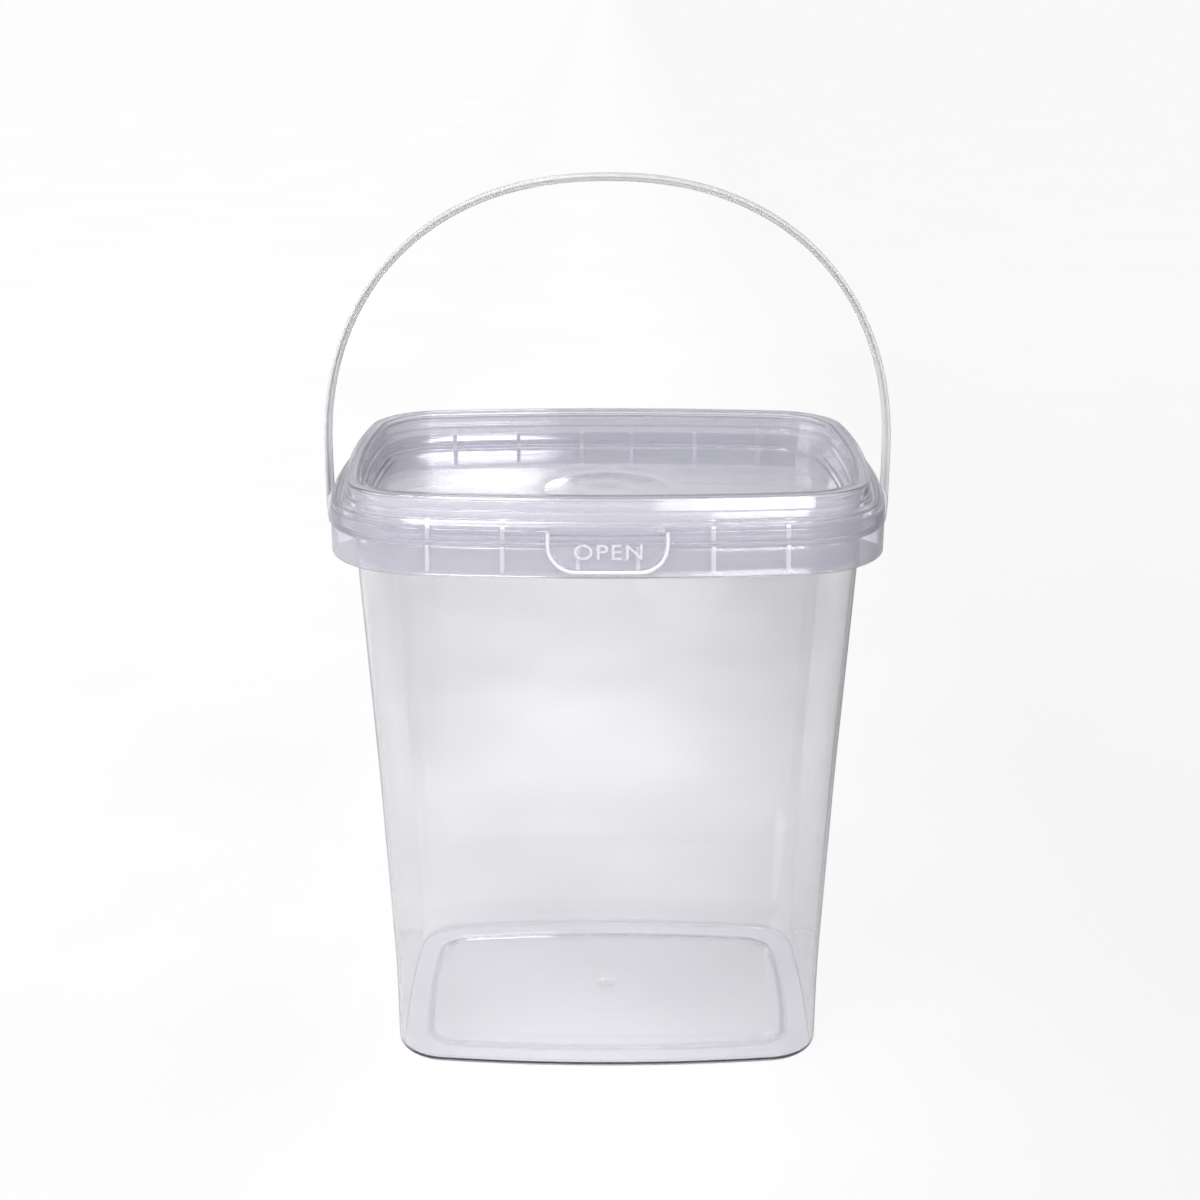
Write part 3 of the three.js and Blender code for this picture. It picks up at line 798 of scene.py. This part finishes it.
def milky_plastic(name, colour, clearness):
    """Milky polypropylene: light goes part of the way through, the colour is faintly cloudy,
    and the surface has the slight unevenness of a matt mould."""
    paint = bpy.data.materials.new(name)
    tree = fresh_tree(paint)
    place = tree.make("ShaderNodeTexCoord", output="Object")
    cloud = tree.make(
        "ShaderNodeTexNoise",
        inputs={"Vector": place, "Scale": 120.0, "Detail": 4.0, "Roughness": 0.6},
    )
    grain = tree.make(
        "ShaderNodeTexNoise",
        inputs={"Vector": place, "Scale": 140.0, "Detail": 1.0, "Roughness": 0.4},
    )
    darker = tuple(c * CLOUD_DARKER for c in colour)
    shade = tree.make(
        "ShaderNodeMix",
        {"data_type": "RGBA"},
        {0: cloud, 6: darker + (1,), 7: colour + (1,)},
        output=2,
    )
    bump = tree.make(
        "ShaderNodeBump",
        inputs={"Strength": 0.15, "Distance": 0.02 * MM, "Height": grain},
    )
    plastic = tree.make(
        "ShaderNodeBsdfPrincipled",
        inputs={
            "Base Color": shade,
            "Roughness": cloud * MATT_CLOUD + MATT_BASE,
            "IOR": PLASTIC_IOR,
            "Transmission Weight": clearness,
            "Normal": bump,
        },
    )
    tree.make("ShaderNodeOutputMaterial", inputs={0: plastic})
    return paint


# The ribs and the notch bead are near-white milky plastic: painted highlight that stands in for
# the bright lines their edges catch.
edge_highlight_paint = milky_plastic("painted_edge_highlights", colour=(0.97, 0.97, 0.99), clearness=0.35)
finished(gusset_ribs, "tub", None, edge_highlight_paint)

# Notch bead: a thin round bead of the tub, moulded along the edge of the U in the collar, so
# that the cut edge is stiff and smooth. It stands proud of the collar's face.

NOTCH_BEAD = 0.45 * MM
BEAD_DROP = 0.4 * MM
BEAD_OFFSET = -0.05 * MM
BEAD_SPACING = 1.2 * MM
BEAD_COLUMNS = 14


def tube_on_front(name, line, radius, offset):
    """A round bead along a line of (x, height) on the bowed front: circles stand across the
    line, at centre + radius * (across * cos + outwards * sin), and each centre lies the offset
    outwards from the collar's face. Its ends are closed flat."""
    centre = side_place("front")(np.full(len(line), offset), line[:, 1], line[:, 0])
    tangent = np.gradient(centre, axis=0)
    tangent /= np.linalg.norm(tangent, axis=1)[:, None]
    outwards = np.array([0, -1.0, 0])
    across = np.cross(tangent, outwards)
    across /= np.linalg.norm(across, axis=1)[:, None]
    angle = np.linspace(0, 2 * math.pi, BEAD_COLUMNS, endpoint=False)[None, :, None]
    ring = across[:, None] * np.cos(angle) + outwards * np.sin(angle)
    return skin(name, centre[:, None] + radius * ring)


bead_line = spaced(notch_line(NOTCH_BEAD, COLLAR_TOP - BEAD_DROP), BEAD_SPACING)
notch_bead = tube_on_front("notch_bead", bead_line, NOTCH_BEAD, BEAD_OFFSET)
# The bead's near-white is painted highlight along the edge of the U.
finished(notch_bead, "tub", None, edge_highlight_paint)

# Lid: one clear moulding that snaps over the rim. Its ring is an upside-down channel, stepped
# outside, with a flange and a skirt that drop inside the collar. The panel is recessed, so that
# another pail can stand on it, and low rings are left round the gate in its middle.

lid_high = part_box("lid")[1]
LID_TOP = lid_high.z
PANEL_TOP = LID_TOP - 10.1 * MM
PANEL_ROUND = 1.4 * MM
PANEL_UNDER_ROUND = 1.6 * MM
PANEL_MARGIN = 5 * MM
RIM_GAP = 0.3 * MM
LID_WALL = 1.0 * MM
RING_DRAFT = 0.25 * MM
RING_EDGE = 0.5 * MM
STEP_OUT = 0.7 * MM
STEP_DROP = 3.1 * MM
STEP_TIGHTER = -1 * MM
STEP_ROOT = 0.3 * MM
STEP_EDGE = 0.4 * MM
FLANGE_GAP = 0.45 * MM
FLANGE_DROP = 5 * MM
FLANGE_EDGE = 0.45 * MM
SKIRT_WALL = 0.9 * MM
SKIRT_LIFT = 0.4 * MM
SKIRT_EDGE = 0.25 * MM
CHANNEL_EDGE = 0.2 * MM
PLUG_STEP_DROP = 4.3 * MM
PLUG_SHIFT = 0.7 * MM
PLUG_EDGE = 0.35 * MM
PLUG_UNDER_EDGE = 0.3 * MM
LID_RADII = np.array(
    [0.5, 1.4, 2.2, 3.0, 3.8, 6.8, 7.4, 8.0, 8.6, 14.4, 14.9, 15.5, 16.1, 16.6, 20]
) * MM
LID_HEIGHTS = np.array(
    [0.11, 0.11, 0.10, 0.07, 0.05, 0.05, 0.04, 0.01, 0, 0, 0.02, 0.06, 0.02, 0, 0]
) * MM
UNDER_RADII = np.array([0.5, 2.2, 3, 15, 20]) * MM
UNDER_HEIGHTS = np.array([0.05, 0.04, 0, 0, 0]) * MM

plug_out = rim_in - RIM_GAP
plug_in = plug_out - LID_WALL
channel = snap_out + RIM_GAP
channel_top = LID_TOP - LID_WALL
ring_out = channel + LID_WALL
step_out = ring_out + STEP_OUT
step_in = step_out - LID_WALL
step_level = LID_TOP - STEP_DROP
flange_out = -COLLAR_WALL - FLANGE_GAP
flange_top = LID_TOP - FLANGE_DROP
flange_under = flange_top - LID_WALL
skirt_in = flange_out - SKIRT_WALL
skirt_bottom = WEB_TOP + SKIRT_LIFT
plug_step = LID_TOP - PLUG_STEP_DROP
panel_middle = plug_in - PLUG_SHIFT - PANEL_MARGIN
panel_under = PANEL_TOP - LID_WALL
lid_corners = [
    (panel_middle, PANEL_TOP, 0, RIM_TIGHTER),
    (plug_in - PLUG_SHIFT, PANEL_TOP, PANEL_ROUND, RIM_TIGHTER),
    (plug_in - PLUG_SHIFT, plug_step - PLUG_SHIFT, PLUG_EDGE, RIM_TIGHTER),
    (plug_in, plug_step, PLUG_EDGE, RIM_TIGHTER),
    (plug_in, LID_TOP, RING_EDGE, RIM_TIGHTER),
    (ring_out - RING_DRAFT, LID_TOP, RING_EDGE, RIM_TIGHTER),
    (ring_out, step_level, STEP_ROOT, RIM_TIGHTER),
    (step_out - RING_DRAFT, step_level, STEP_EDGE, STEP_TIGHTER),
    (step_out, flange_top, STEP_EDGE, STEP_TIGHTER),
    (flange_out, flange_top, FLANGE_EDGE),
    (flange_out, skirt_bottom, SKIRT_EDGE),
    (skirt_in, skirt_bottom, SKIRT_EDGE),
    (skirt_in, flange_under, STEP_EDGE),
    (step_in, flange_under, STEP_EDGE, STEP_TIGHTER),
    (step_in, step_level - LID_WALL, STEP_ROOT, STEP_TIGHTER),
    (channel, step_level - LID_WALL / 2, CHANNEL_EDGE, RIM_TIGHTER),
    (channel, channel_top, STEP_EDGE, RIM_TIGHTER),
    (plug_out, channel_top, STEP_EDGE, RIM_TIGHTER),
    (plug_out, plug_step - PLUG_SHIFT, PLUG_UNDER_EDGE, RIM_TIGHTER),
    (plug_out - PLUG_SHIFT, plug_step - PLUG_SHIFT * 2, PLUG_UNDER_EDGE, RIM_TIGHTER),
    (plug_out - PLUG_SHIFT, panel_under, PANEL_UNDER_ROUND, RIM_TIGHTER),
    (panel_middle, panel_under, 0, RIM_TIGHTER),
]
lid = dish("lid_moulding", lid_corners, LID_RADII, LID_HEIGHTS, UNDER_RADII, UNDER_HEIGHTS)


def even(colour):
    """Stops for a colour that is the same at every height."""
    return [(0, colour), (1, colour)]


LID_TINT = [(0.885, (0.928, 0.927, 0.942, 1)), (0.90, (0.966, 0.965, 0.973, 1))]
LID_HAZE = even(grey(0.07))
LID_MILK = [(0.885, grey(0.06)), (0.895, grey(0.10))]
lid_paint = clear_plastic(
    "clear_lid", LID_TINT, LID_HAZE, LID_MILK, depth=7, ripple_size=12 * MM, ripple=0.06 * MM
)
finished(lid, "lid", "lid", lid_paint)

# Handle: a springy strap of milky polypropylene with a T section, straight beside the rim and
# arched over the lid. Each end is a round pad with a stud that snaps through the collar.

STRAP_HALF_WIDTH = 2.5 * MM
STRAP_THICK = 1.8 * MM
STRAP_FLANGE = 0.8 * MM
STRAP_RIB_HALF = 0.8 * MM
STRAP_EDGE = 0.3 * MM
STRAP_OUTER_EDGE = 0.35 * MM
STRAP_RIB_EDGE = 0.4 * MM
EDGE_STEPS = 4
ARCH_HEIGHT = 67 * MM
ARCH_POWER = 2.22
ARCH_POINTS = 260
ARCH_FINE_POINTS = 4001
STANDOFF = 0.7 * MM
PAD_GAP = 0.35 * MM
PAD_RADIUS = 4.3 * MM
PAD_OVER_STRAP = 0.5 * MM
PAD_CROWN = 0.2 * MM
PAD_EDGE, PAD_BACK_EDGE = 0.6 * MM, 0.3 * MM
STUD_RADIUS = 2.2 * MM
STUD_ROOT, STUD_NECK = 0.2 * MM, 0.1 * MM
HEAD_RADIUS = 2.9 * MM
HEAD_GAP = 0.4 * MM
HEAD_FLAT, HEAD_LENGTH = 0.9 * MM, 1.5 * MM
HEAD_CHAMFER = 0.6 * MM
HEAD_EDGE, HEAD_CATCH_EDGE = 0.2 * MM, 0.15 * MM
POLE_RADIUS = 0.3 * MM


def bail(half_span, foot):
    """The strap's middle line, evenly spaced: straight legs, then a superellipse
    |x / a|^p + |z / b|^p = 1 over the rim. Gives its x and heights."""
    turn = np.linspace(0, math.pi, ARCH_FINE_POINTS)
    x = half_span * np.sign(np.cos(turn)) * np.abs(np.cos(turn)) ** (2 / ARCH_POWER)
    z = TUB_TOP + ARCH_HEIGHT * np.sin(turn) ** (2 / ARCH_POWER)
    x = np.concatenate([[half_span], x, [-half_span]])
    z = np.concatenate([[foot], z, [foot]])
    length = np.concatenate([[0], np.cumsum(np.hypot(np.diff(x), np.diff(z)))])
    at = np.linspace(0, length[-1], ARCH_POINTS)
    return np.interp(at, length, x), np.interp(at, length, z)


half_span = HALF_LENGTH + PAD_GAP + STANDOFF + STRAP_THICK / 2
bail_x, bail_z = bail(half_span, PIVOT_HEIGHT)
slope = np.stack([np.gradient(bail_x), np.gradient(bail_z)], -1)
slope /= np.linalg.norm(slope, axis=1)[:, None]
outwards_x, outwards_z = slope[:, 1], -slope[:, 0]
ledge = STRAP_THICK / 2 - STRAP_FLANGE
strap_section = rounded(
    [
        (-STRAP_HALF_WIDTH, ledge, STRAP_EDGE),
        (-STRAP_RIB_HALF, ledge, STRAP_EDGE),
        (-STRAP_RIB_HALF, -STRAP_THICK / 2, STRAP_RIB_EDGE),
        (STRAP_RIB_HALF, -STRAP_THICK / 2, STRAP_RIB_EDGE),
        (STRAP_RIB_HALF, ledge, STRAP_EDGE),
        (STRAP_HALF_WIDTH, ledge, STRAP_EDGE),
        (STRAP_HALF_WIDTH, STRAP_THICK / 2, STRAP_OUTER_EDGE),
        (-STRAP_HALF_WIDTH, STRAP_THICK / 2, STRAP_OUTER_EDGE),
    ],
    steps=EDGE_STEPS,
    closed=True,
)

# The section is carried along the middle line: across it along Y, and out square to it
across, out = strap_section[None, :, 0], strap_section[None, :, 1]
strap_grid = np.stack(
    [
        bail_x[:, None] + outwards_x[:, None] * out,
        across + 0 * bail_x[:, None],
        bail_z[:, None] + outwards_z[:, None] * out,
    ],
    -1,
)
handle = skin("strap_handle", strap_grid)
pad_face = HALF_LENGTH + PAD_GAP
pad_out = half_span + PAD_OVER_STRAP
head_face = HALF_LENGTH - COLLAR_WALL - HEAD_GAP
end_profile = rounded(
    [
        (pad_out + PAD_CROWN, POLE_RADIUS),
        (pad_out, PAD_RADIUS, PAD_EDGE),
        (pad_face, PAD_RADIUS, PAD_BACK_EDGE),
        (pad_face, STUD_RADIUS, STUD_ROOT),
        (head_face, STUD_RADIUS, STUD_NECK),
        (head_face, HEAD_RADIUS, HEAD_CATCH_EDGE),
        (head_face - HEAD_FLAT, HEAD_RADIUS, HEAD_EDGE),
        (head_face - HEAD_LENGTH, HEAD_RADIUS - HEAD_CHAMFER, HEAD_EDGE),
        (head_face - HEAD_LENGTH, POLE_RADIUS),
    ],
    steps=EDGE_STEPS,
)
for sign in (-1, 1):
    handle = combined(handle, "UNION", turned_on_x("end", end_profile, sign))

handle_paint = milky_plastic("milky_strap", colour=(0.80, 0.80, 0.80), clearness=0.5)
finished(handle, "handle", "handle", handle_paint)

# Tear tab: the part of the collar inside the U, held by thin bridges until the pail is first
# opened. It has a lip for the thumb along its top and a shallow panel inside a plain border.

TAB_TOP = COLLAR_TOP - 1.1 * MM
TAB_LIP = 0.5 * MM
TAB_LIP_HEIGHT = 1.0 * MM
TAB_LIP_EDGE = 0.25 * MM
TAB_EDGE = 0.2 * MM
TAB_BORDER = 1.7 * MM
TAB_PANEL = 0.3 * MM
FRONT_POINTS = 60


def front_band(name, corners):
    """A bar with a section of (offset outwards, height) corners, carried along the bowed front
    from a little before the U to a little past it."""
    section = rounded(corners, EDGE_STEPS, closed=True)
    half_length = NOTCH_HALF + OVERRUN
    along = np.linspace(-half_length, half_length, FRONT_POINTS)[:, None]
    offset, height = section[None, :, 0] + 0 * along, section[None, :, 1] + 0 * along
    return skin(name, side_place("front")(offset, height, along + 0 * offset))


lip_bottom = TAB_TOP - TAB_LIP_HEIGHT
tab = front_band(
    "tear_tab_plate",
    [
        (-COLLAR_WALL, COLLAR_BOTTOM, 0),
        (-COLLAR_WALL, TAB_TOP, TAB_EDGE),
        (TAB_LIP, TAB_TOP, TAB_LIP_EDGE),
        (TAB_LIP, lip_bottom, TAB_EDGE),
        (0, lip_bottom - TAB_LIP, TAB_EDGE),
        (0, COLLAR_BOTTOM, 0),
    ],
)
blank_back = FRONT + 4 * OVERRUN
blank = block(notch_line(-TAB_GAP, COLLAR_TOP), FRONT - OVERRUN, blank_back, from_front)
tab = combined(tab, "INTERSECT", skin("tab_blank", blank))
panel_edge = lip_bottom - TAB_LIP * 2
recess = front_band(
    "recess",
    [
        (-TAB_PANEL, COLLAR_BOTTOM, 0),
        (-TAB_PANEL, panel_edge, 0),
        (OVERRUN, panel_edge, 0),
        (OVERRUN, COLLAR_BOTTOM, 0),
    ],
)
recess_line = notch_line(-TAB_GAP - TAB_BORDER, panel_edge + OVERRUN)
recess_blank = block(recess_line, FRONT - 2 * OVERRUN, blank_back, from_front)
recess = combined(recess, "INTERSECT", skin("recess_blank", recess_blank))
tab = combined(tab, "DIFFERENCE", recess)

TAB_TINT = even((0.82, 0.818, 0.848, 1))
TAB_HAZE = even(grey(0.08))
TAB_MILK = even(grey(0.20))
tab_paint = clear_plastic(
    "clear_tab", TAB_TINT, TAB_HAZE, TAB_MILK, depth=18, ripple_size=6 * MM, ripple=0.05 * MM
)
finished(tab, "tear_tab", "tear_tab", tab_paint)

# Lettering: the plain word that says where to open the pail, raised a little from the tab's
# panel by an engraving in the mould, which leaves it frosted.

LETTER_HEIGHT = 3.5 * MM
LETTER_WIDTH = 15.4 * MM
LETTER_FOOT = 137.9 * MM
LETTER_PROUD = 0.28 * MM
LETTER_SUNK = 0.05 * MM
LETTER_SPREAD = 1.12

font = bpy.data.curves.new("word", "FONT")
font.body = "OPEN"
font.align_x = "CENTER"
font.extrude = 0.5
font.resolution_u = 6
font.space_character = LETTER_SPREAD
word = bpy.data.objects.new("word", font)
scene.collection.objects.link(word)
bpy.context.view_layer.update()
flat = bpy.data.meshes.new_from_object(
    word.evaluated_get(bpy.context.evaluated_depsgraph_get())
)
bpy.data.objects.remove(word)

# The word is stretched to its size and bent round the front, its back a little in the panel
points = np.zeros(len(flat.vertices) * 3)
flat.vertices.foreach_get("co", points)
points = points.reshape(-1, 3)
low, high = points.min(0), points.max(0)
share = (points - low) / (high - low)
placed = side_place("front")(
    -TAB_PANEL - LETTER_SUNK + LETTER_PROUD * share[:, 2],
    LETTER_FOOT + LETTER_HEIGHT * share[:, 1],
    LETTER_WIDTH * (share[:, 0] - 0.5),
)
flat.vertices.foreach_set("co", placed.ravel())
letters = bpy.data.objects.new("open_letters", flat)
scene.collection.objects.link(letters)
letter_paint = milky_plastic("frosted_letters", colour=(0.86, 0.86, 0.90), clearness=0.35)
finished(letters, "tear_tab", None, letter_paint)
